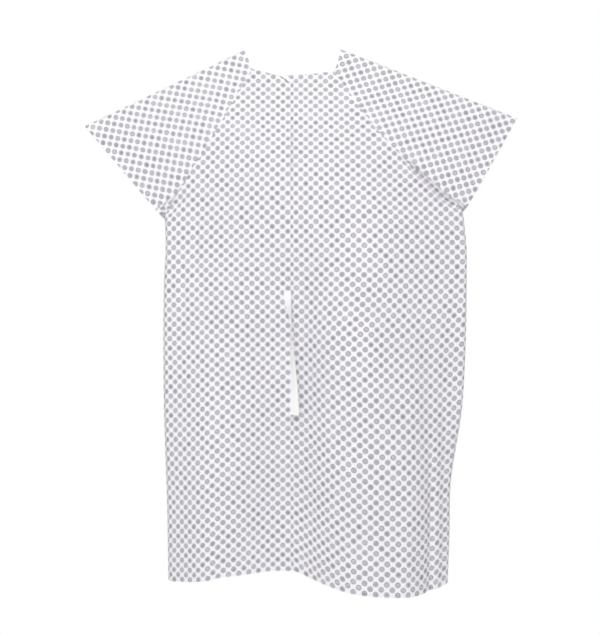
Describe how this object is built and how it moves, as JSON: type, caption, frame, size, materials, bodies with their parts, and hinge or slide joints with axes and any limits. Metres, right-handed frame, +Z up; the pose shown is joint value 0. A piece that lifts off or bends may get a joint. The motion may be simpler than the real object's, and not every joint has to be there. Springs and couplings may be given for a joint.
{
  "type": "patient gown",
  "caption": "Raglan-sleeved patient gown with an overlapping tied back opening, bound neck and wide short sleeves, in a small ring-and-dot print.",
  "frame": {"origin": "the middle of the neck opening, at the height of the two shoulder points where the top folds meet the neck binding", "axes": "+Z up the hanging gown, +X towards the wearer's right (the viewer's right from behind), +Y the way the wearer faces; the back opening faces -Y"},
  "size_m": [0.951, 0.2704, 1.176],
  "materials": {
    "print": "plain-weave cotton and polyester, matte, white with a small grey ring-and-dot print",
    "binding": "plain white bias binding, matte",
    "tape": "white twill tape, matte",
    "thread": "white sewing thread, slight sheen",
    "label": "white woven label, blank",
    "plastic": "white moulded plastic, satin"
  },
  "bodies": {
    "body": {"front_panel": "print", "back_panel_left": "print", "back_panel_right": "print", "neck_binding": "binding", "neck_snap_socket": "plastic", "neck_snap_stud": "plastic", "care_label": "label", "raglan_seam_back_left": "thread", "raglan_seam_back_right": "thread", "raglan_seam_front_left": "thread", "raglan_seam_front_right": "thread", "side_seam_left": "thread", "side_seam_right": "thread", "hem_stitching_front": "thread", "hem_stitching_back_left": "thread", "hem_stitching_back_right": "thread", "edge_stitching_right": "thread", "bar_tack_inner": "thread"},
    "left_flap": {"back_flap_left": "print", "hem_stitching_flap_left": "thread", "edge_stitching_left": "thread", "bar_tack_outer": "thread"},
    "right_flap": {"back_flap_right": "print", "hem_stitching_flap_right": "thread", "edge_stitching_flap_right": "thread"},
    "left_sleeve": {"sleeve_left": "print", "sleeve_hem_left": "thread"},
    "right_sleeve": {"sleeve_right": "print", "sleeve_hem_right": "thread"},
    "outer_tie": {"waist_tie_outer": "tape"},
    "inner_tie": {"waist_tie_inner": "tape"}
  },
  "joints": [
    {"name": "left_flap_fold", "type": "hinge", "parent": "body", "child": "left_flap", "pos_m": [-0.117, -0.0875, -0.6178], "axis": [-0.1962, 0, -0.9806], "range_deg": [0, 100]},
    {"name": "right_flap_fold", "type": "hinge", "parent": "body", "child": "right_flap", "pos_m": [-0.0149, -0.0835, -0.8994], "axis": [-0.285, 0, 0.9585], "range_deg": [0, 45]},
    {"name": "left_sleeve_lift", "type": "hinge", "parent": "body", "child": "left_sleeve", "pos_m": [-0.102, 0, 0], "axis": [0, 1, 0], "range_deg": [0, 12]},
    {"name": "right_sleeve_lift", "type": "hinge", "parent": "body", "child": "right_sleeve", "pos_m": [0.102, 0, 0], "axis": [0, -1, 0], "range_deg": [0, 12]},
    {"name": "outer_tie_swing", "type": "hinge", "parent": "left_flap", "child": "outer_tie", "pos_m": [-0.01, -0.0874, -0.531], "axis": [-1, 0, 0], "range_deg": [0, 80]},
    {"name": "inner_tie_swing", "type": "hinge", "parent": "body", "child": "inner_tie", "pos_m": [-0.074, -0.072, -0.531], "axis": [1, 0, 0], "range_deg": [0, 25]}
  ],
  "couplings": [
    {"joint": "right_flap_fold", "follows": "left_flap_fold", "ratio": 0.45}
  ]
}
